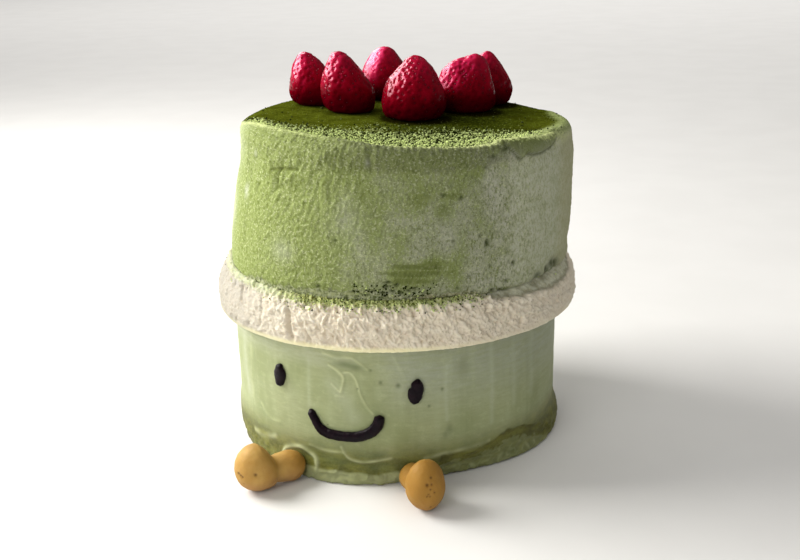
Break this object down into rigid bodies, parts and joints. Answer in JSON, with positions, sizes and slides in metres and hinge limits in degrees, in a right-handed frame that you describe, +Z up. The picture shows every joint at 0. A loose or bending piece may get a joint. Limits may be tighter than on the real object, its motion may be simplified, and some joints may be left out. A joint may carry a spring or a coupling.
{
  "type": "tiered cake with a smiling face",
  "caption": "Round two-tier green tea cake with a rough cream layer, strawberries on its dusted top, a simple smile and stubby round-footed legs.",
  "frame": {"origin": "centre of the lower tier's flat base, on the surface that the cake stands on", "axes": "-Z out of the base into that surface, +Z up through the tiers; -Y is the way the face looks, and +X is towards the right of the face as a viewer sees it"},
  "size_m": [0.1733, 0.1897, 0.1812],
  "materials": {
    "pale_frosting": "smooth pale green frosting, drawn round with a palette knife",
    "dusted_frosting": "frosting with a dry, grainy dusting of green tea powder",
    "cream": "rough whipped cream",
    "chocolate": "piped dark chocolate with a slight gloss",
    "marzipan": "smooth, dull marzipan with small pits",
    "strawberry": "shiny, dimpled strawberry skin with small pale seeds"
  },
  "bodies": {
    "root": {"lower_tier": "pale_frosting", "cream_layer": "cream", "upper_tier": "dusted_frosting", "eye_left": "chocolate", "eye_right": "chocolate", "mouth": "chocolate", "leg_left": "marzipan", "leg_right": "marzipan", "strawberry_front": "strawberry", "strawberry_front_left": "strawberry", "strawberry_left": "strawberry", "strawberry_back": "strawberry", "strawberry_front_right": "strawberry", "strawberry_right": "strawberry"}
  },
  "joints": []
}
